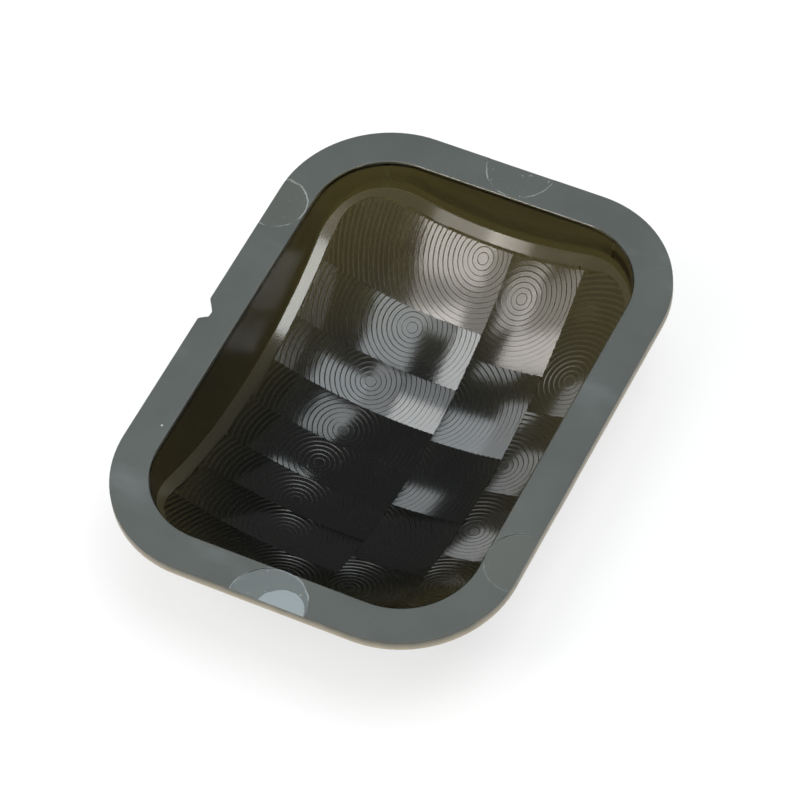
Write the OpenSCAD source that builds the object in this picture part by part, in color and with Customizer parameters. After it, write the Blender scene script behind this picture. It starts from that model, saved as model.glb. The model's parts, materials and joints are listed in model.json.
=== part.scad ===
// Fresnel lens array for an infrared motion sensor, moulded in one piece from
// smoke-tinted polyethylene: a flat flange, a short straight wall and a domed
// window. The inside of the window carries the lens cells, each with its own set
// of concentric sawtooth rings, and a smooth raised border runs round them.
// The lens lies on its dome with the open side up. Z = 0 is the lowest point of
// the dome, +Z points out of the open side and +Y runs along the longer side.

/* [Flange] */
// Length of the flange along Y
flange_l = 36; // [32:0.5:44]
// Width of the flange along X
flange_w = 26.6; // [24:0.2:34]
// Thickness of the flange
flange_t = 0.8; // [0.5:0.1:1.5]
// Radius of the flange's corners
flange_corner_r = 7.4; // [6:0.1:9]
// Width of the flange face, from its outer edge to the opening
flange_face_w = 2.5; // [1.5:0.1:3]
// Height and width of the bevel round the mouth of the opening
mouth_bevel = 0.22; // [0.1:0.02:0.4]

/* [Window] */
// Depth of the window's middle, on the groove roots, below the flange face
window_depth = 8.4; // [7.5:0.1:11]
// Radius of the spherical surface that the groove roots lie on
window_r = 26.2; // [24:0.2:40]
// Thickness of the window under the groove roots
window_t = 0.6; // [0.4:0.05:1]
// Thickness of the straight wall between the flange and the window
wall_t = 0.7; // [0.5:0.05:1.2]

/* [Lens array] */
// Width of the smooth border between the wall and the lens cells
border_w = 0.8; // [0.4:0.1:1.4]
// Height of the border above the groove roots
border_rise = 0.32; // [0.2:0.02:0.4]
// Width of the fine fin between two cells, where the inserts of the mould meet
cell_gap = 0.06; // [0.02:0.01:0.2]
// Radius of the corners of the lens array
array_corner_r = 3; // [1:0.1:4]
// Distance from one groove to the next
groove_pitch = 0.5; // [0.4:0.05:0.8]
// Focal length of every lens cell
focal_length = 24; // [18:0.5:40]
// Refractive index of the plastic
refractive_index = 1.54; // [1.48:0.01:1.6]

/* [Marks of the moulding] */
// Radius of the ejector pins, which leave round marks on the flange face
pin_r = 2.1; // [1:0.1:2.5]
// Depth of the marks of the ejector pins
pin_mark_depth = 0.06; // [0.04:0.01:0.12]
// Place of the pins of the longer sides, along Y from the middle
side_pin_y = 9.4; // [4:0.1:10]
// Distance from the outer edge of the flange in to the middle of a pin
pin_inset = 0.3; // [0:0.1:1]
// Length of the notch that the broken-off gate left in the flange's edge
gate_l = 1.75; // [1:0.05:2.5]
// Depth of the gate notch
gate_depth = 0.6; // [0.3:0.05:0.9]
// Length of the floor of the gate notch
gate_floor_l = 0.35; // [0.1:0.05:0.5]
// Place of the notch's floor, along Y from the notch's middle
gate_floor_y = -0.23; // [-0.3:0.01:0.3]
// Place of the gate notch, along Y from the middle
gate_y = 0.1; // [-3:0.1:3]

/* [Hidden] */
$fn = 120;

smoke = [0.19, 0.20, 0.17];
past = 0.5; // how far a cut runs past the faces that it opens

// The wall and the lens array follow the outline of the opening
opening_l = flange_l - 2 * flange_face_w;
opening_w = flange_w - 2 * flange_face_w;
opening_r = flange_corner_r - flange_face_w;
array_l = opening_l - 2 * border_w;
array_w = opening_w - 2 * border_w;

// The spheres of the window share one centre, straight above the lowest point
flange_top = window_t + window_depth;
dome_r = window_r + window_t;
border_r = window_r - border_rise;

// The lens cells stand in columns along X. A column is a share of the array's
// width and a list of cells from +Y to -Y. A cell is a share of the column's
// length and the place of its optical centre, along X and Y from its middle.
columns = [
    [11.1, [[5.15, 3.15, 2.1], [4.0, 1.15, 0.8], [3.4, 0.25, 0.15], [3.25, -0.05, -0.2],
            [3.3, 0.35, 0.05], [3.05, 0.25, -0.2], [3.65, 1.05, 0], [3.6, 3.15, -0.7]]],
    [5.0, [[6.8, -1.1, 1.15], [6.2, -3.45, -0.6], [5.5, -3.8, -0.75], [5.4, -3.5, -0.5],
           [5.5, -1.1, -0.45]]],
    [3.9, [[9.25, -0.4, -1.7], [6.25, -1.75, -1.0], [6.0, -0.95, -0.4], [7.9, -0.45, 0.75]]]
];

function total(shares, n) = n == 0 ? 0 : shares[n - 1] + total(shares, n - 1);

// Slope of a groove's face at radius r, which bends light from r to the focus
function groove_slope(r) =
    let (bend = atan(r / focal_length))
    atan(sin(bend) / (refractive_index - cos(bend)));

// Depth of the spherical root surface at radius r from a cell's own axis
function root_z(r) = sqrt(pow(window_r, 2) - pow(r, 2));

// Side view of the hollow over the rings from number first to number last, down
// from the centre of the spheres: each ring starts at its crest and falls outwards
// to its root
function hollow_outline(first, last) = concat(
    [[0, 0]],
    [for (i = [first : last], end = [0, 1])
        let (inner = i * groove_pitch,
             outer = inner + groove_pitch,
             crest = groove_pitch * tan(groove_slope((inner + outer) / 2)))
        end == 0 ? [inner, crest - root_z(inner)] : [outer, -root_z(outer)]]
);

module rounded_plate(l, w, r, h) {
    linear_extrude(h) {
        square([w, l - 2 * r], center = true);
        square([w - 2 * r, l], center = true);
        for (x = [-1, 1], y = [-1, 1])
            translate([x * (w / 2 - r), y * (l / 2 - r)]) circle(r);
    }
}

// A rounded plate whose edge spreads outwards by its own height
module flared_plate(l, w, r, h) {
    for (x = [-1, 1], y = [-1, 1])
        translate([x * (w / 2 - r), y * (l / 2 - r), 0]) cylinder(h, r, r + h);
    rotate([90, 0, 0]) linear_extrude(l - 2 * r, center = true)
        polygon([[-w / 2, 0], [w / 2, 0], [w / 2 + h, h], [-w / 2 - h, h]]);
    rotate([90, 0, 90]) linear_extrude(w - 2 * r, center = true)
        polygon([[-l / 2, 0], [l / 2, 0], [l / 2 + h, h], [-l / 2 - h, h]]);
}

// Hollow over one lens cell, down to its grooves. The cell spans size[0] by
// size[1] about middle, and its rings turn about an axis through its optical
// centre and the centre of the spheres.
module lens_cell(middle, size, centre) {
    corners = [for (x = [-1, 1], y = [-1, 1])
        norm([middle[0] + x * size[0] / 2 - centre[0], middle[1] + y * size[1] / 2 - centre[1]])];
    beside = [for (k = [0, 1]) max(0, abs(middle[k] - centre[k]) - size[k] / 2)];
    tilt = asin(norm(centre) / window_r);
    first = max(0, floor(norm(beside) * cos(tilt) / groove_pitch) - 1);
    last = ceil(max(corners) / cos(tilt) / groove_pitch) + 1;
    intersection() {
        translate([middle[0] - size[0] / 2, middle[1] - size[1] / 2, 0])
            cube([size[0], size[1], flange_top]);
        translate([0, 0, dome_r]) rotate([0, -tilt, atan2(centre[1], centre[0])])
            rotate_extrude() polygon(hollow_outline(first, last));
    }
}

module lens_array() {
    shares = [for (c = columns) c[0]];
    for (i = [0 : len(columns) - 1]) {
        w = array_w * shares[i] / total(shares, len(shares));
        x = -array_w / 2 + array_w * total(shares, i) / total(shares, len(shares)) + w / 2;
        rows = [for (c = columns[i][1]) c[0]];
        for (j = [0 : len(rows) - 1]) {
            l = array_l * rows[j] / total(rows, len(rows));
            y = array_l / 2 - array_l * total(rows, j) / total(rows, len(rows)) - l / 2;
            lens_cell([x, y], [w - cell_gap, l - cell_gap],
                      [x + columns[i][1][j][1], y + columns[i][1][j][2]]);
        }
    }
}

// Round marks of the ejector pins, which touch the flange face at its outer edge
module pin_marks() {
    side_x = flange_w / 2 - pin_inset;
    end_y = flange_l / 2 - pin_inset;
    for (at = [[-side_x, side_pin_y], [side_x, -side_pin_y], [0, end_y], [0, -end_y]])
        translate([at[0], at[1], flange_top - pin_mark_depth]) cylinder(past, r = pin_r);
}

// Notch that the broken-off gate left in the edge of one longer side
module gate_notch() {
    half = gate_l / 2;
    floor_from = gate_floor_y - gate_floor_l / 2;
    floor_to = gate_floor_y + gate_floor_l / 2;
    translate([-flange_w / 2, gate_y, flange_top - flange_t - past])
        linear_extrude(flange_t + 2 * past)
            polygon([[-past, half], [0, half], [gate_depth, floor_to],
                     [gate_depth, floor_from], [0, -half], [-past, -half]]);
}

module fresnel_lens() {
    color(smoke) difference() {
        union() {
            translate([0, 0, flange_top - flange_t])
                rounded_plate(flange_l, flange_w, flange_corner_r, flange_t);
            intersection() {
                rounded_plate(opening_l + 2 * wall_t, opening_w + 2 * wall_t, opening_r + wall_t,
                              flange_top - flange_t / 2);
                translate([0, 0, dome_r]) sphere(dome_r);
            }
        }
        intersection() {
            rounded_plate(opening_l, opening_w, opening_r, flange_top + past);
            translate([0, 0, dome_r]) sphere(border_r);
        }
        intersection() {
            lens_array();
            rounded_plate(array_l, array_w, array_corner_r, flange_top);
        }
        translate([0, 0, flange_top - mouth_bevel])
            flared_plate(opening_l, opening_w, opening_r, mouth_bevel + past);
        pin_marks();
        gate_notch();
    }
}

fresnel_lens();
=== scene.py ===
import json
import math

import bmesh
import bpy
from mathutils import Matrix, Vector

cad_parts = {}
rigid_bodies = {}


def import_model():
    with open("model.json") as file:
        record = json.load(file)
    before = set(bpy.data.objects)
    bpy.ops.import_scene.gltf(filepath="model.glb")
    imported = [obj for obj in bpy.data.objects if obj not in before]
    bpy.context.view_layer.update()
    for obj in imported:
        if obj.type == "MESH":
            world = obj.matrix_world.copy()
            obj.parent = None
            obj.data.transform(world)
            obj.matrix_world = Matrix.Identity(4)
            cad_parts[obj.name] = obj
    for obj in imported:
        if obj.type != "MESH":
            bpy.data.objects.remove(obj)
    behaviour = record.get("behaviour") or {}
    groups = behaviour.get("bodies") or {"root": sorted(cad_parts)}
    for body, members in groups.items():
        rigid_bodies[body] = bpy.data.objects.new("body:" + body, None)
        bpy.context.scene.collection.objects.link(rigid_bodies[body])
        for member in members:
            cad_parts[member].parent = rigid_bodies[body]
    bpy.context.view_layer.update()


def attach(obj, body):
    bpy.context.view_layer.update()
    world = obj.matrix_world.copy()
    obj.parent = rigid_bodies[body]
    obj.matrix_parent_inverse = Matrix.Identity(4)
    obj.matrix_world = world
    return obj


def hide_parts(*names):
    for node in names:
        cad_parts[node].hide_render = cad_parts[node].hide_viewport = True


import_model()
mm = 0.001


# ---- The stand: camera, floor, sky and lamps
# A long lens looks down into the open side from over one corner. The floor is plain
# white paper, and soft boxes hang about a dimmed ceiling, so that their reflections
# lie on the grooves and the border with dark plastic between them.
aim = Vector((1.10, -1.44, 9.0)) * mm
turn, rise, roll = math.radians(31.13), math.radians(53.69), math.radians(6.10)
distance = 275.72 * mm
back = Vector((math.sin(turn) * math.cos(rise), -math.cos(turn) * math.cos(rise), math.sin(rise)))
right = (-back).cross(Vector((0, 0, 1))).normalized()
down = (-back).cross(right)
across = right * math.cos(roll) + down * math.sin(roll)
upwards = right * math.sin(roll) - down * math.cos(roll)
bpy.ops.object.camera_add()
camera = bpy.context.object
camera.data.lens = 202.5
camera.data.clip_start = 0.01
camera.matrix_world = Matrix.LocRotScale(
    aim + back * distance,
    Matrix((across, upwards, back)).transposed().to_quaternion(),
    None,
)
bpy.context.scene.camera = camera
bpy.context.scene.view_settings.view_transform = "Standard"


def feed(tree, socket, value):
    """Links a socket to another node's output, or gives it a plain value."""
    if isinstance(value, bpy.types.NodeSocket):
        tree.links.new(value, socket)
    else:
        socket.default_value = value


def node(tree, kind, **inputs):
    """Adds a shader node and sets its named inputs."""
    made = tree.nodes.new(kind)
    for name, value in inputs.items():
        feed(tree, made.inputs[name.replace("_", " ")], value)
    return made


def number(tree, operation, *values):
    """Adds a sum on numbers and gives its result."""
    made = tree.nodes.new("ShaderNodeMath")
    made.operation = operation
    for socket, value in zip(made.inputs, values):
        feed(tree, socket, value)
    return made.outputs["Value"]


def rescale(tree, value, from_min, from_max, to_min=0.0, to_max=1.0, curve="LINEAR"):
    """Turns a value between two limits into one between two others."""
    made = node(tree, "ShaderNodeMapRange", Value=value, From_Min=from_min, From_Max=from_max,
                To_Min=to_min, To_Max=to_max)
    made.interpolation_type = curve
    return made.outputs["Result"]


def seen_straight(tree):
    """1 for a ray from the camera, off a glossy face or through clear plastic."""
    path = node(tree, "ShaderNodeLightPath").outputs
    glossy = number(tree, "MAXIMUM", path["Is Camera Ray"], path["Is Glossy Ray"])
    return number(tree, "MAXIMUM", glossy, path["Is Transmission Ray"])


floor_size, paper_white, paper_glow = 3.0, (0.92, 0.93, 0.92, 1), 0.7
bpy.ops.object.select_all(action="DESELECT")
bpy.ops.mesh.primitive_plane_add(size=floor_size, location=(0, 0, 0))
floor = bpy.context.object
floor.name = "floor"
paper = bpy.data.materials.new("white_paper")
paper.use_nodes = True
tree = paper.node_tree
matt = tree.nodes["Principled BSDF"]
matt.inputs["Base Color"].default_value = paper_white
matt.inputs["Roughness"].default_value = 0.9
matt.inputs["Specular IOR Level"].default_value = 0.1
white = node(tree, "ShaderNodeEmission", Strength=1.0)
blend = tree.nodes.new("ShaderNodeMixShader")
feed(tree, blend.inputs["Fac"], number(tree, "MULTIPLY", seen_straight(tree), paper_glow))
feed(tree, blend.inputs[1], matt.outputs[0])
feed(tree, blend.inputs[2], white.outputs[0])
feed(tree, tree.nodes["Material Output"].inputs["Surface"], blend.outputs[0])
floor.data.materials.append(paper)

# The sky is white to the camera and at the horizon. Glossy faces see it fade to a
# dim ceiling with the height of their ray, and matt faces see it dim all over.
fade_height, ceiling_level, ambient_level = 0.2, 0.17, 0.15
sky = bpy.data.worlds.new("white_room")
sky.use_nodes = True
bpy.context.scene.world = sky
tree = sky.node_tree
direction = node(tree, "ShaderNodeSeparateXYZ",
                 Vector=node(tree, "ShaderNodeTexCoord").outputs["Generated"])
ceiling = rescale(tree, direction.outputs["Z"], 0.0, fade_height, 1.0, ceiling_level)
dimmed = number(tree, "MULTIPLY", seen_straight(tree), ceiling)
camera_ray = node(tree, "ShaderNodeLightPath").outputs["Is Camera Ray"]
wall = number(tree, "MAXIMUM", camera_ray, dimmed)
light = tree.nodes["Background"]
light.inputs["Color"].default_value = (1, 1, 1, 1)
feed(tree, light.inputs["Strength"], number(tree, "MAXIMUM", wall, ambient_level))

# Each soft box: direction from the lens, width, height, turn, radiance, colour
box_distance = 0.6
for name, towards, width, height, twist, radiance, colour in (
    ("box_right", (0.31, 0.0, 0.95), 0.25, 0.30, 0, 8.5, (0.97, 1.0, 1.0)),
    ("box_edge", (0.50, -0.39, 0.775), 0.06, 0.17, 0, 10.0, (1.0, 0.98, 0.95)),
    ("box_above", (-0.14, 0.0, 0.99), 0.13, 0.30, 0, 5.0, (0.90, 0.97, 1.0)),
    ("box_front", (-0.22, -0.47, 0.855), 0.29, 0.25, 0, 3.2, (1.0, 0.96, 0.92)),
    ("box_core", (-0.34, -0.43, 0.836), 0.15, 0.06, -8, 5.5, (1.0, 0.95, 0.91)),
    ("box_middle", (-0.48, -0.30, 0.824), 0.07, 0.08, 0, 5.5, (1.0, 0.96, 0.93)),
    ("box_corner", (-0.63, -0.55, 0.55), 0.11, 0.08, 0, 9.0, (1.0, 0.95, 0.91)),
    ("box_rim", (-0.401, -0.581, 0.708), 0.22, 0.08, 0, 8.0, (1.0, 0.95, 0.91)),
    ("box_between", (0.03, 0.14, 0.98), 0.08, 0.24, 0, 3.6, (0.92, 0.97, 1.0)),
    ("box_beside", (0.20, 0.30, 0.933), 0.12, 0.08, 0, 3.0, (0.92, 0.97, 1.0)),
    ("box_back", (-0.13, 0.51, 0.85), 0.09, 0.13, 0, 3.6, (0.90, 0.97, 1.0)),
    ("box_left", (-0.59, 0.40, 0.70), 0.07, 0.15, 0, 2.8, (0.95, 0.98, 1.0)),
    ("box_left_low", (-0.61, 0.65, 0.45), 0.07, 0.10, 0, 3.0, (0.95, 0.98, 1.0)),
    ("box_low", (-0.72, -0.07, 0.69), 0.06, 0.14, 0, 2.6, (0.95, 0.98, 1.0)),
):
    towards = Vector(towards).normalized()
    side = Vector((0, 1, 0)).cross(towards).normalized()
    facing = Matrix((side, towards.cross(side), towards)).transposed()
    facing = facing @ Matrix.Rotation(math.radians(twist), 3, "Z")
    bpy.ops.object.light_add(type="AREA")
    lamp = bpy.context.object
    lamp.name = name
    lamp.data.shape = "RECTANGLE"
    lamp.data.size, lamp.data.size_y = width, height
    lamp.data.energy = math.pi * width * height * radiance
    lamp.data.color = colour
    lamp.matrix_world = Matrix.LocRotScale(towards * box_distance, facing.to_quaternion(), None)


# ---- The moulded body: flange, wall and window
# One shot of smoke-tinted polyethylene. The flat flange carries the lens in its
# housing, a short wall drops from it, and the window closes the wall with a shallow
# dome. It is a closed shell, worked from the flange face inwards and down.
flange_w, flange_l, flange_t, flange_top = 26.6 * mm, 36.0 * mm, 0.8 * mm, 9.0 * mm
flange_corner, flange_face, mouth_bevel = 7.4 * mm, 2.5 * mm, 0.1 * mm
opening_x, opening_y = flange_w / 2 - flange_face, flange_l / 2 - flange_face
corner_steps, side_steps, floor_rings = 24, 24, 24
straight_least, many_corners = 4 * mm, 50
wall_t, end_draft = 0.7 * mm, 0.35 * mm
sphere_centre, window_r, window_t = 26.8 * mm, 26.2 * mm, 0.6 * mm
border_w, border_rise, plateau_rise = 0.8 * mm, 0.14 * mm, 0.34 * mm
# The flash is a fine ragged ridge along the inner edge of the border
flash_w, flash_h, flash_foot, flash_ragged = 0.05 * mm, 0.04 * mm, 0.07 * mm, 0.03 * mm
# Each floor waits at a height of its own until it is lifted onto its sphere
outer_flat, border_flat, plateau_flat = -1.0 * mm, -3.0 * mm, -5.0 * mm
relief_reach = 0.9 * mm


def only(thing):
    """Makes one object the active one, with nothing else selected."""
    bpy.ops.object.select_all(action="DESELECT")
    bpy.context.view_layer.objects.active = thing
    thing.select_set(True)


def pick(kind, test):
    """Selects the edges or faces that pass the test, and nothing else."""
    bpy.ops.mesh.select_mode(type=kind)
    bpy.ops.mesh.select_all(action="DESELECT")
    shape = bmesh.from_edit_mesh(bpy.context.object.data)
    for part in shape.edges if kind == "EDGE" else shape.faces:
        part.select_set(bool(test(part)))
    shape.select_flush_mode()
    bmesh.update_edit_mesh(bpy.context.object.data)


def pick_open_edges():
    """Selects the edges that have a face on one side only."""
    bpy.ops.mesh.select_mode(type="EDGE")
    bpy.ops.mesh.select_all(action="DESELECT")
    bpy.ops.mesh.select_non_manifold()


def extrude_by(height):
    """Extrudes what is selected straight up by a height, or down where it is below zero."""
    bpy.ops.mesh.extrude_region_move(TRANSFORM_OT_translate={"value": (0, 0, height)})


def resize_by(x, y, z, centre=(0, 0, 0)):
    """Resizes what is selected about a place."""
    bpy.ops.transform.resize(value=(x, y, z), center_override=centre)


def close_floor():
    """Carries the selected floor in by even rings and closes it at the middle."""
    for ring in range(floor_rings, 1, -1):
        extrude_by(0)
        resize_by((ring - 1) / ring, (ring - 1) / ring, 1)
    bpy.ops.mesh.merge(type="CENTER")


def set_on_sphere(thing, flat, radius):
    """Lifts what lies about a flat height onto a sphere, relief and all."""
    for corner in thing.data.vertices:
        if abs(corner.co.z - flat) < relief_reach:
            beside = corner.co.x ** 2 + corner.co.y ** 2
            corner.co.z += sphere_centre - flat - math.sqrt(radius ** 2 - beside)


bpy.ops.object.select_all(action="DESELECT")
bpy.ops.mesh.primitive_plane_add(size=1, location=(0, 0, flange_top))
lens = bpy.context.object
lens.name = "lens"
lens.scale = (flange_w, flange_l, 1)
bpy.ops.object.transform_apply(location=True, rotation=True, scale=True)
bpy.ops.object.mode_set(mode="EDIT")
bpy.ops.mesh.select_all(action="SELECT")
bpy.ops.mesh.bevel(offset=flange_corner, segments=corner_steps, affect="VERTICES")
bpy.ops.mesh.select_all(action="SELECT")
bpy.ops.mesh.delete(type="ONLY_FACE")
pick("EDGE", lambda edge: edge.calc_length() > straight_least)
bpy.ops.mesh.subdivide(number_cuts=side_steps - 1)
bpy.ops.mesh.select_all(action="SELECT")
bpy.ops.mesh.edge_face_add()

# The flange face, the mouth, the wall, the border with its flash, and the floor
# that the lens cells are cut from
bpy.ops.mesh.select_mode(type="FACE")
bpy.ops.mesh.select_all(action="SELECT")
bpy.ops.mesh.inset(thickness=flange_face - mouth_bevel)
bpy.ops.mesh.inset(thickness=mouth_bevel)
bpy.ops.transform.translate(value=(0, 0, -mouth_bevel))
extrude_by(border_flat - flange_top + mouth_bevel)
resize_by(1, 1 - end_draft / opening_y, 1)
bpy.ops.mesh.inset(thickness=border_w - 2 * flash_w)
bpy.ops.mesh.inset(thickness=flash_w)
bpy.ops.transform.translate(value=(0, 0, flash_h))
bpy.ops.transform.vertex_random(offset=flash_ragged, seed=3)
bpy.ops.mesh.inset(thickness=flash_foot)
resize_by(1, 1, 0, centre=(0, 0, border_flat))
extrude_by(plateau_flat - border_flat)
close_floor()

# The edge and the back of the flange, the outside of the wall, and the dome
pick_open_edges()
extrude_by(-flange_t)
bpy.ops.mesh.edge_face_add()
pick("FACE", lambda face: len(face.verts) > many_corners)
bpy.ops.mesh.inset(thickness=flange_face - wall_t)
extrude_by(outer_flat - flange_top + flange_t)
close_floor()
bpy.ops.mesh.select_all(action="SELECT")
bpy.ops.mesh.normals_make_consistent(inside=False)
bpy.ops.object.mode_set(mode="OBJECT")
set_on_sphere(lens, outer_flat, window_r + window_t)
set_on_sphere(lens, border_flat, window_r - border_rise)
set_on_sphere(lens, plateau_flat, window_r - plateau_rise)

# Sharp edges are rounded outside a rounded rectangle that keeps the array: half its
# width, half its length and its corner
kept_x, kept_y, kept_corner = 10.3 * mm, 15.0 * mm, 4.4 * mm
sharp_angle, edge_round = 0.5, 0.06 * mm


def outside_array(end):
    """True for a vertex that lies outside the lens cells and the flash."""
    x, y = abs(end.co.x), abs(end.co.y)
    over_x, over_y = x - kept_x + kept_corner, y - kept_y + kept_corner
    past_corner = over_x > 0 and over_y > 0 and math.hypot(over_x, over_y) > kept_corner
    return x > kept_x or y > kept_y or past_corner


bpy.ops.object.mode_set(mode="EDIT")
pick("EDGE", lambda edge: edge.calc_face_angle() > sharp_angle
     and any(outside_array(end) for end in edge.verts))
bpy.ops.mesh.bevel(offset=edge_round, segments=3, affect="EDGES")
bpy.ops.object.mode_set(mode="OBJECT")


# ---- The lens cells
# Each cell is a Fresnel lens of its own: sawtooth rings about an optical centre,
# cut into the inside of the window by a turned mould insert. The inserts stand side
# by side in three columns, so the rings of one cell stop dead at the next.
groove_pitch, riser_w = 0.32 * mm, 0.06 * mm
focal_length, refractive_index = 24 * mm, 1.54
ring_count, ring_steps = 32, 160
array_w, array_l, array_corner = 20.0 * mm, 28.7 * mm, 3.0 * mm
corner_planes = 12
overlap, cut_threshold = 0.002 * mm, 0.00001 * mm
hollow_top = flange_top + mm
polished_slot, satin_slot, matt_slot, wall_slot, edge_slot, riser_slot = range(6)
# Each column in mm: its left and right bounds, the bounds of its cells along Y, and
# the optical centres of the cells
columns = (
    (-10.0, 1.1, (14.35, 9.4, 5.5, 2.15, -1.1, -4.4, -7.45, -11.0, -14.35),
     ((-0.7, 13.6), (-3.3, 8.3), (-4.2, 4.0), (-4.2, 0.05), (-4.4, -2.9), (-4.2, -6.4),
      (-3.4, -9.3), (-1.3, -13.3))),
    (1.1, 6.1, (14.35, 7.8, 1.7, -3.8, -9.1, -14.35),
     ((2.7, 12.1), (0.2, 4.1), (-0.2, -1.8), (0.1, -7.0), (2.5, -12.1))),
    (6.1, 10.0, (14.35, 5.4, -0.8, -6.8, -14.35),
     ((8.0, 7.85), (6.4, 1.3), (7.1, -4.2), (7.6, -9.8))),
)


def crest(ring):
    """Height of a groove: its face bends light from its own radius to the focus."""
    bend = math.atan((ring + 0.5) * groove_pitch / focal_length)
    lean = math.sin(bend) / (refractive_index - math.cos(bend))
    return (groove_pitch - riser_w) * lean


def new_cutters(name):
    """A collection for cutters."""
    cutters = bpy.data.collections.new(name)
    bpy.context.scene.collection.children.link(cutters)
    return cutters


def carve(thing, cutters):
    """Cuts the closed cutters of a collection out of a piece, and removes them."""
    only(thing)
    cut = thing.modifiers.new("cut", "BOOLEAN")
    cut.operation = "DIFFERENCE"
    cut.operand_type = "COLLECTION"
    cut.collection = cutters
    cut.solver = "MANIFOLD"
    bpy.ops.object.modifier_apply(modifier="cut")
    for cutter in list(cutters.objects):
        bpy.data.objects.remove(cutter)
    bpy.data.collections.remove(cutters)


# A disc of rings, from which every cell is copied. Its risers get a slot of their
# own, which the carving hands on to the lens.
bpy.ops.object.select_all(action="DESELECT")
bpy.ops.mesh.primitive_cone_add(vertices=ring_steps, radius1=groove_pitch, radius2=0,
                                depth=crest(0), end_fill_type="NOTHING",
                                location=(0, 0, crest(0) / 2))
rings = bpy.context.object
bpy.ops.object.transform_apply(location=True, rotation=True, scale=True)
bpy.ops.object.mode_set(mode="EDIT")
pick_open_edges()
for ring in range(1, ring_count):
    root, height = ring * groove_pitch, crest(ring)
    wider = 1 + riser_w / root
    extrude_by(height)
    resize_by(wider, wider, 1)
    wider = (root + groove_pitch) / (root + riser_w)
    extrude_by(-height)
    resize_by(wider, wider, 1)
bpy.ops.object.mode_set(mode="OBJECT")
for slot in range(riser_slot + 1):
    rings.data.materials.append(None)
    lens.data.materials.append(None)
for face in rings.data.polygons:
    outwards = face.normal.x * face.center.x + face.normal.y * face.center.y
    if outwards * face.normal.z < 0:
        face.material_index = riser_slot

# Each cell's hollow is the disc about the optical centre, trimmed to the cell's
# bounds, laid on the sphere and closed above the flange
hollows = new_cutters("hollows")
for left, right_side, bounds, centres in columns:
    for upper, lower, (centre_x, centre_y) in zip(bounds, bounds[1:], centres):
        cell = rings.copy()
        cell.data = rings.data.copy()
        hollows.objects.link(cell)
        only(cell)
        cell.location = (centre_x * mm, centre_y * mm, 0)
        bpy.ops.object.transform_apply(location=True, rotation=True, scale=True)
        cuts = [((left * mm - overlap, 0, 0), (-1, 0, 0)),
                ((right_side * mm + overlap, 0, 0), (1, 0, 0)),
                ((0, upper * mm + overlap, 0), (0, 1, 0)),
                ((0, lower * mm - overlap, 0), (0, -1, 0))]
        at_left, at_right = left * mm < mm - array_w / 2, right_side * mm > array_w / 2 - mm
        at_upper, at_lower = upper * mm > array_l / 2 - mm, lower * mm < mm - array_l / 2
        if (at_left or at_right) and (at_upper or at_lower):
            side, end = -1 if at_left else 1, 1 if at_upper else -1
            for step in range(1, corner_planes):
                lean = math.radians(90 * step / corner_planes)
                over, along = math.cos(lean), math.sin(lean)
                cuts.append(((side * (array_w / 2 - array_corner + over * array_corner),
                              end * (array_l / 2 - array_corner + along * array_corner), 0),
                             (side * over, end * along, 0)))
        bpy.ops.object.mode_set(mode="EDIT")
        bpy.ops.mesh.select_mode(type="EDGE")
        for point, normal in cuts:
            bpy.ops.mesh.select_all(action="SELECT")
            bpy.ops.mesh.bisect(plane_co=point, plane_no=normal, clear_outer=True,
                                threshold=cut_threshold)
        bpy.ops.object.mode_set(mode="OBJECT")
        set_on_sphere(cell, 0, window_r)
        bpy.ops.object.mode_set(mode="EDIT")
        pick_open_edges()
        extrude_by(hollow_top / 2)
        resize_by(1, 1, 0, centre=(0, 0, hollow_top))
        bpy.ops.mesh.edge_face_add()
        bpy.ops.mesh.select_all(action="SELECT")
        bpy.ops.mesh.normals_make_consistent(inside=False)
        bpy.ops.object.mode_set(mode="OBJECT")
bpy.data.objects.remove(rings)
carve(lens, hollows)


# ---- Marks of the moulding
# Ejector pins pushed the lens out of the mould by its flange face and left round
# marks there, half on the face. The gate was broken off one longer side by hand and
# left a torn notch.
pin_depth, pin_steps = 0.06 * mm, 96
# Each pin in mm: its place along X and Y, and its radius
pin_marks = ((-12.93, 9.39, 1.94), (0.2, 17.97, 2.27), (0.38, -18.03, 2.5), (12.93, -9.39, 2.1))
# The notch is cut by a wedge, wide outside the flange and narrow at its inner end
notch_at, notch_size = Vector((-13.5, 0.45, 8.6)) * mm, Vector((1.6, 4.0, 1.6)) * mm
notch_narrow, notch_narrow_y, notch_lean, notch_ragged = 0.1, -0.15 * mm, 0.1 * mm, 0.05 * mm
straight_on, smooth_below = 0.9, math.radians(6)


def make_cutter(thing, cutters):
    """Moves an object into a collection of cutters."""
    bpy.context.collection.objects.unlink(thing)
    cutters.objects.link(thing)


marks = new_cutters("marks")
for centre_x, centre_y, radius in pin_marks:
    bpy.ops.object.select_all(action="DESELECT")
    bpy.ops.mesh.primitive_cylinder_add(
        vertices=pin_steps, radius=radius * mm, depth=mm,
        location=(centre_x * mm, centre_y * mm, flange_top - pin_depth + mm / 2))
    bpy.ops.object.transform_apply(location=True, rotation=True, scale=True)
    make_cutter(bpy.context.object, marks)
bpy.ops.object.select_all(action="DESELECT")
bpy.ops.mesh.primitive_cube_add(size=1, location=notch_at)
notch = bpy.context.object
notch.scale = notch_size
bpy.ops.object.transform_apply(location=True, rotation=True, scale=True)
bpy.ops.object.mode_set(mode="EDIT")
pick("FACE", lambda face: face.normal.x > straight_on)
resize_by(1, notch_narrow, 1, centre=(0, notch_narrow_y, 0))
bpy.ops.transform.translate(value=(0, -notch_lean, 0))
bpy.ops.mesh.select_all(action="SELECT")
bpy.ops.mesh.subdivide(number_cuts=9)
bpy.ops.transform.vertex_random(offset=notch_ragged, seed=7)
bpy.ops.object.mode_set(mode="OBJECT")
make_cutter(notch, marks)
carve(lens, marks)
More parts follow.
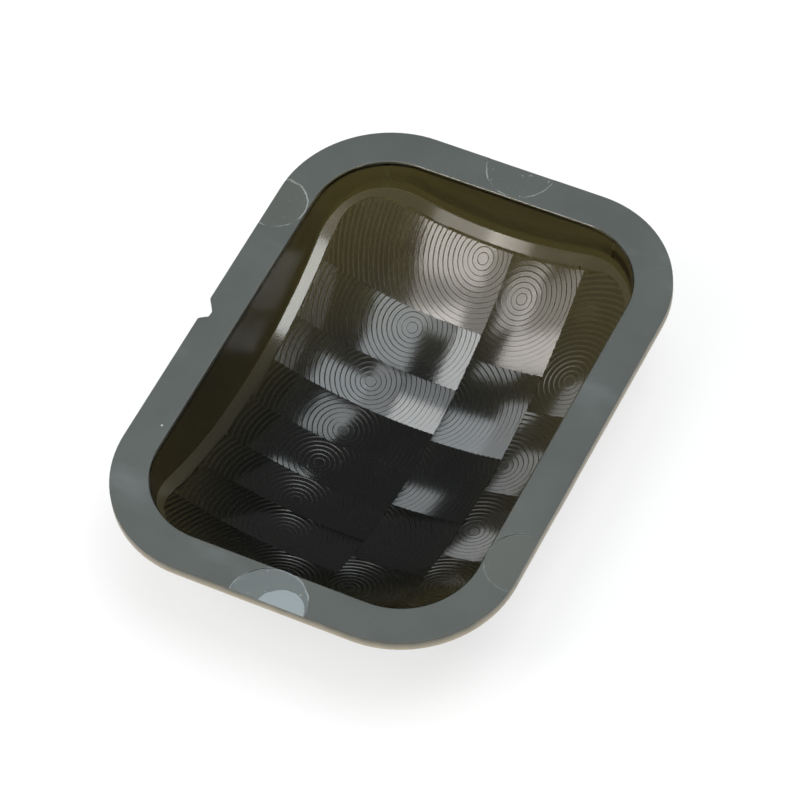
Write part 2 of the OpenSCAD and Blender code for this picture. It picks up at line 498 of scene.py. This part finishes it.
bpy.ops.object.shade_smooth_by_angle(angle=smooth_below)


# ---- The finishes of the plastic
# The window is polished, its border satin, and the flange has the fine matt skin of
# an eroded mould. All are one smoke-tinted plastic, thin enough for light to come
# through, and that light is also painted into the tint: a painted glow, dark over the
# middle and lighter olive out towards the corners and the far end.
relief_distance = 0.01 * mm
speck_tint, matt_speck_tint = (0.5, 0.5, 0.45, 1), (0.45, 0.46, 0.44, 1)


def vector(tree, operation, *values):
    """Adds a sum on vectors and gives its result, which is a number for a length."""
    made = tree.nodes.new("ShaderNodeVectorMath")
    made.operation = operation
    for socket, value in zip(made.inputs, values):
        feed(tree, socket, value)
    return made.outputs["Value" if operation == "LENGTH" else "Vector"]


def noise(tree, place, scale, detail):
    """Adds a noise that runs over the piece and gives its value."""
    return node(tree, "ShaderNodeTexNoise", Vector=place, Scale=scale, Detail=detail).outputs["Fac"]


def laid_over(tree, share, under, over):
    """Lays one colour over another by a share from 0 to 1."""
    made = tree.nodes.new("ShaderNodeMix")
    made.data_type = "RGBA"
    for name, value in (("Factor", share), ("A", under), ("B", over)):
        feed(tree, made.inputs[name], value)
    return made.outputs["Result"]


def two_tints(tree, share, first, second, start=0.0, stop=1.0):
    """Goes from one tint to another as the share goes from start to stop."""
    ramp = node(tree, "ShaderNodeValToRGB", Fac=share)
    for element, tint, position in zip(ramp.color_ramp.elements, (first, second), (start, stop)):
        element.position = position
        element.color = (*tint, 1)
    return ramp.outputs["Color"]


def new_group(name, inputs, outputs):
    """Starts a node group: the group, what it is given and what it puts out."""
    group = bpy.data.node_groups.new(name, "ShaderNodeTree")
    for way, sockets in (("INPUT", inputs), ("OUTPUT", outputs)):
        for socket, kind in sockets:
            group.interface.new_socket(socket, in_out=way, socket_type="NodeSocket" + kind)
    given = group.nodes.new("NodeGroupInput").outputs
    result = group.nodes.new("NodeGroupOutput").inputs
    return group, given, result


def placed(tree, group, **inputs):
    """Places a node group in a material, sets its inputs and gives its outputs."""
    made = tree.nodes.new("ShaderNodeGroup")
    made.node_tree = group
    for name, value in inputs.items():
        feed(tree, made.inputs[name], value)
    return made.outputs


def new_finish(name):
    """Starts a material: the material, its tree, its shader and the place on the piece."""
    material = bpy.data.materials.new(name)
    material.use_nodes = True
    tree = material.node_tree
    place = node(tree, "ShaderNodeTexCoord").outputs["Object"]
    return material, tree, tree.nodes["Principled BSDF"], place


def painted_glow_share_group():
    """Node group: how far out a point lies from a middle set off towards the near end, 0 there and
    1 at the corners. It is the share of painted glow.
    """
    group, given, result = new_group("painted_glow_towards_rim", (("Position", "Vector"),),
                                     (("Share", "Float"),))
    scaled = vector(group, "MULTIPLY_ADD", given["Position"],
                    (2 / flange_w, 2 / flange_l, 0), (0.1, 0.22, 0))
    outwards = vector(group, "LENGTH", scaled)
    feed(group, result["Share"], rescale(group, outwards, 0.45, 1.15, curve="SMOOTHSTEP"))
    return group


def dust_group():
    """Node group: stray specks of dust, 1 on a speck and 0 beside it."""
    group, given, result = new_group("dust_specks", (("Position", "Vector"),),
                                     (("Speck", "Float"),))
    spots = node(group, "ShaderNodeTexVoronoi", Vector=given["Position"], Scale=620.0)
    chosen = node(group, "ShaderNodeSeparateColor", Color=spots.outputs["Color"])
    size = rescale(group, chosen.outputs["Red"], 0.72, 1.0, 0.0, 0.07)
    feed(group, result["Speck"], number(group, "LESS_THAN", spots.outputs["Distance"], size))
    return group


painted_glow_share, dust_specks = painted_glow_share_group(), dust_group()


def dusted(tree, place, colour, speck_colour):
    """Puts pale specks of dust over a colour."""
    return laid_over(tree, placed(tree, dust_specks, Position=place)["Speck"], colour, speck_colour)


def smoke_finish(name, rough, rough_spread, bump, middle, rim):
    """A clear smoke finish with a cloudy roughness, a fine relief, and a tint that goes from the
    middle to the rim, painted lighter there as glow from light coming through.
    """
    material, tree, shader, place = new_finish(name)
    shader.inputs["IOR"].default_value = refractive_index
    shader.inputs["Transmission Weight"].default_value = 1.0
    # Painted glow: light coming through the plastic is painted into the tint, lighter and olive
    # towards the rim and the far end
    outwards = placed(tree, painted_glow_share, Position=place)["Share"]
    tint = two_tints(tree, outwards, middle, rim)
    feed(tree, shader.inputs["Base Color"], dusted(tree, place, tint, speck_tint))
    cloud = noise(tree, place, 350.0, 3.0)
    feed(tree, shader.inputs["Roughness"],
         rescale(tree, cloud, 0.0, 1.0, rough - rough_spread, rough + rough_spread))
    relief = node(tree, "ShaderNodeBump", Height=noise(tree, place, 9000.0, 2.0), Strength=bump,
                  Distance=relief_distance)
    feed(tree, shader.inputs["Normal"], relief.outputs["Normal"])
    return material


# Each finish: roughness, its spread, bump, and its tints over the middle and at the rim. The rim
# tint is the plastic's olive with painted glow from light coming through
polished = smoke_finish("polished_smoke", 0.085, 0.03, 0.12,
                        (0.007, 0.008, 0.007), (0.055, 0.046, 0.017))
satin = smoke_finish("satin_smoke", 0.12, 0.04, 0.08,
                     (0.03, 0.027, 0.018), (0.10, 0.085, 0.045))
drawn = smoke_finish("drawn_wall_smoke", 0.33, 0.05, 0.3,
                     (0.020, 0.017, 0.010), (0.055, 0.043, 0.012))
tooled = smoke_finish("tooled_riser_smoke", 0.42, 0.05, 0.2,
                      (0.020, 0.019, 0.014), (0.080, 0.068, 0.034))


def pin_mark_group():
    """Node group: the ragged outline and the inside of one ejector pin's mark."""
    group, given, result = new_group(
        "pin_mark",
        (("Position", "Vector"), ("Centre", "Vector"), ("Radius", "Float"), ("Flecks", "Float")),
        (("Outline", "Float"), ("Inside", "Float")))
    place = given["Position"]
    wobble = rescale(group, noise(group, place, 2200.0, 3.0), 0.0, 1.0, -0.09 * mm, 0.09 * mm)
    level = vector(group, "MULTIPLY", vector(group, "SUBTRACT", place, given["Centre"]), (1, 1, 0))
    away = number(group, "ADD", vector(group, "LENGTH", level), wobble)
    past_edge = number(group, "SUBTRACT", away, given["Radius"])
    inside = rescale(group, past_edge, 0.03 * mm, -0.03 * mm)
    band = rescale(group, number(group, "ABSOLUTE", past_edge), 0.055 * mm, 0.02 * mm)
    unbroken = rescale(group, noise(group, place, 700.0, 4.0), 0.38, 0.52)
    outline = number(group, "MULTIPLY", band, unbroken)
    fleck = rescale(group, noise(group, place, 3800.0, 2.0), 0.66, 0.72)
    within = number(group, "MULTIPLY", fleck, inside)
    feed(group, result["Outline"], number(group, "MULTIPLY_ADD", within, given["Flecks"], outline))
    feed(group, result["Inside"], inside)
    return group


# The matt skin: cloudy tints, pale bloom in slanting patches, and the pin marks
matt_skin, tree, shader, place = new_finish("matt_smoke")
patches = node(tree, "ShaderNodeTexNoise", Vector=place, Scale=160.0, Detail=4.0, Roughness=0.6)
tint = two_tints(tree, patches.outputs["Fac"], (0.053, 0.061, 0.058), (0.071, 0.081, 0.075),
                 0.3, 0.7)
slanting = node(tree, "ShaderNodeMapping", Vector=place, Scale=(1.0, 2.2, 1.0),
                Rotation=(0, 0, 0.5)).outputs["Vector"]
bloom = rescale(tree, noise(tree, slanting, 115.0, 4.0), 0.58, 0.72, 0.0, 0.6)
colour = laid_over(tree, bloom, tint, (0.105, 0.122, 0.128, 1))
# A second, smaller lobe lies beside the mark on the near end
near_lobe = (1.33, -18.24, 1.5)
pin_mark = pin_mark_group()
# Each mark: place and radius, flecks, colour and share of its inside, outline's colour
for (centre_x, centre_y, radius), flecks, inside_colour, inside_share, outline_colour in (
    (pin_marks[0], 0.15, (0.070, 0.073, 0.064), 0.6, (0.30, 0.32, 0.31)),
    (pin_marks[1], 0.8, (0.064, 0.074, 0.070), 0.6, (0.26, 0.28, 0.28)),
    (pin_marks[2], 0.5, (0.125, 0.145, 0.150), 0.6, (0.24, 0.27, 0.28)),
    (near_lobe, 0.3, (0.23, 0.27, 0.285), 0.9, (0.24, 0.28, 0.30)),
    (pin_marks[3], 0.2, (0.075, 0.08, 0.074), 0.5, (0.13, 0.145, 0.14)),
):
    mark = placed(tree, pin_mark, Position=place, Centre=(centre_x * mm, centre_y * mm, 0),
                  Radius=radius * mm, Flecks=flecks)
    inner = number(tree, "MULTIPLY", mark["Inside"], inside_share)
    colour = laid_over(tree, inner, colour, (*inside_colour, 1))
    colour = laid_over(tree, mark["Outline"], colour, (*outline_colour, 1))
feed(tree, shader.inputs["Base Color"], dusted(tree, place, colour, matt_speck_tint))
relief = node(tree, "ShaderNodeBump", Height=noise(tree, place, 16000.0, 2.0), Strength=0.35,
              Distance=2 * relief_distance)
feed(tree, shader.inputs["Normal"], relief.outputs["Normal"])
shader.inputs["Roughness"].default_value = 0.5

# The edge of the flange, with a painted glow that stands in for the light the plastic carries to
# it, more towards its lower side
edge_dark, painted_edge_glow = (0.060, 0.062, 0.052), (0.42, 0.36, 0.26)
edge, tree, shader, place = new_finish("painted_glow_edge_smoke")
height = node(tree, "ShaderNodeSeparateXYZ", Vector=place).outputs["Z"]
lift = number(tree, "MULTIPLY_ADD", noise(tree, place, 900.0, 3.0), 0.3 * mm, height)
fade = rescale(tree, lift, flange_top + 0.1 * mm, flange_top - flange_t + 0.2 * mm)
# Painted glow: the edge goes from its dark tint at the top to a pale tan glow lower down
feed(tree, shader.inputs["Base Color"], two_tints(tree, fade, edge_dark, painted_edge_glow))
shader.inputs["Roughness"].default_value = 0.45

# Each face gets its finish by its place and the way it faces
hair, steep_most = 0.01 * mm, 0.3
face_top, mouth_low = flange_top - 0.09 * mm, flange_top - mouth_bevel - 0.05 * mm
flange_low = flange_top - flange_t - hair
wall_x, wall_y, wall_corner_x, wall_corner_y = 10.4 * mm, 14.9 * mm, 8 * mm, 12 * mm
carved_slots = [face.material_index for face in lens.data.polygons]
lens.data.materials.clear()
for finish in (polished, satin, matt_skin, drawn, edge, tooled):
    lens.data.materials.append(finish)


def finish_slot(x, y, z, normal, outside):
    """The finish of a face, from where its middle lies and the way it faces."""
    upright = abs(normal.z)
    border_z = sphere_centre - math.sqrt((window_r - border_rise) ** 2 - x ** 2 - y ** 2)
    past_wall = (x > opening_x + mm or y > opening_y + mm
                 or x > opening_x - 2 * mm and y > opening_y - 2 * mm)
    by_wall = x > wall_x or y > wall_y or x > wall_corner_x and y > wall_corner_y
    if z > face_top and upright > straight_on or z > flange_low and normal.z < -straight_on:
        return matt_slot
    if z > flange_low and outside and past_wall:
        return edge_slot
    if z > mouth_low and not outside:
        return satin_slot
    if abs(z - border_z) < 2 * hair and normal.z > steep_most:
        return satin_slot
    if upright < steep_most and not outside and by_wall:
        return wall_slot
    return polished_slot


for face, slot in zip(lens.data.polygons, carved_slots):
    x, y, z = face.center
    outside = face.normal.x * x + face.normal.y * y > 0
    if slot == riser_slot and z < flange_top - mm:
        face.material_index = riser_slot
    else:
        face.material_index = finish_slot(abs(x), abs(y), z, face.normal, outside)
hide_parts("fresnel_lens")
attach(lens, "root")
